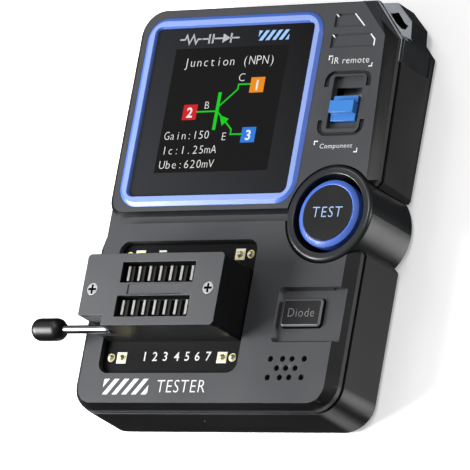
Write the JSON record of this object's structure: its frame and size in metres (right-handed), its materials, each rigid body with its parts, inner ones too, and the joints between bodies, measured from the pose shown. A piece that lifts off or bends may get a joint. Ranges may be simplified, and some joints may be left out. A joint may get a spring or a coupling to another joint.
{
  "type": "component tester",
  "caption": "Hand-held component tester: two-shell case with colour display, lever-operated test socket, round test button, small side key, slide switch and infrared window.",
  "frame": {"origin": "middle of the flat back of the case, measured over the case without the flare of the window side", "axes": "+Z out of the face, +Y towards the display end, +X to the right seen from the front"},
  "size_m": [0.0733, 0.0862, 0.0248],
  "materials": {
    "housing_grey": "satin moulded ABS",
    "housing_dark": "satin moulded ABS",
    "smoky_plastic": "smoky translucent",
    "blue_plastic": "satin moulded",
    "black_plastic": "satin moulded",
    "switch_black": "plain",
    "switch_steel": "plated",
    "tab_blue": "satin moulded",
    "lens_black": "polished",
    "panel_glass": "polished",
    "holder_white": "plain",
    "ribbon_amber": "smooth",
    "board_black": "solder mask",
    "gold_plating": "plated",
    "chip_epoxy": "moulded",
    "socket_grey": "fine textured",
    "socket_black": "fine textured",
    "contact_metal": "plated",
    "screw_steel": "plated",
    "lever_steel": "bright",
    "handle_black": "glossy",
    "cell_foil": "satin foil",
    "wire_red": "smooth",
    "wire_black": "smooth"
  },
  "bodies": {
    "case": {"front_shell": "housing_grey", "rear_shell": "housing_dark", "ir_window": "smoky_plastic", "test_barrel": "blue_plastic", "test_switch": "switch_black", "mode_switch": "switch_black", "slide_switch": "switch_steel", "screen_frame": "blue_plastic", "screen_lens": "lens_black", "display_panel": "panel_glass", "display_holder": "holder_white", "display_ribbon": "ribbon_amber", "main_board": "board_black", "socket_board": "board_black", "header_pins": "gold_plating", "solder_pads": "gold_plating", "board_chips": "chip_epoxy", "sounder": "chip_epoxy", "ir_receiver": "chip_epoxy", "socket_cover": "socket_grey", "socket_base": "socket_black", "socket_contacts": "contact_metal", "socket_screws": "screw_steel", "usb_socket": "switch_steel", "battery_cell": "cell_foil", "battery_lead_red": "wire_red", "battery_lead_black": "wire_black", "battery_plug": "holder_white", "case_screws": "screw_steel", "board_screws": "screw_steel"},
    "test_button": {"test_cap": "black_plastic", "test_ring": "blue_plastic", "test_switch_stem": "black_plastic"},
    "mode_button": {"mode_key": "black_plastic", "mode_switch_stem": "black_plastic"},
    "slide_tab": {"slide_tab": "tab_blue"},
    "socket_lever": {"socket_lever": "lever_steel", "lever_handle": "handle_black"},
    "socket_slider": {"socket_slider": "socket_black"}
  },
  "joints": [
    {"name": "test_press", "type": "slide", "parent": "case", "child": "test_button", "axis": [0, 0, -1], "range_m": [0, 0.0005], "stiffness_N_per_m": 1500, "springref_m": -0.001},
    {"name": "mode_press", "type": "slide", "parent": "case", "child": "mode_button", "axis": [0, 0, -1], "range_m": [0, 0.0004], "stiffness_N_per_m": 1500, "springref_m": -0.001},
    {"name": "power_slide", "type": "slide", "parent": "case", "child": "slide_tab", "axis": [0, 1, 0], "range_m": [0, 0.0018]},
    {"name": "lever_swing", "type": "hinge", "parent": "case", "child": "socket_lever", "pos_m": [-0.0216, -0.0272, 0.019], "axis": [0, 1, 0], "range_deg": [0, 90]},
    {"name": "socket_clamp", "type": "slide", "parent": "case", "child": "socket_slider", "axis": [1, 0, 0], "range_m": [0, 0.001]}
  ],
  "couplings": [
    {"joint": "socket_clamp", "follows": "lever_swing", "m_per_rad": 0.00063662}
  ]
}
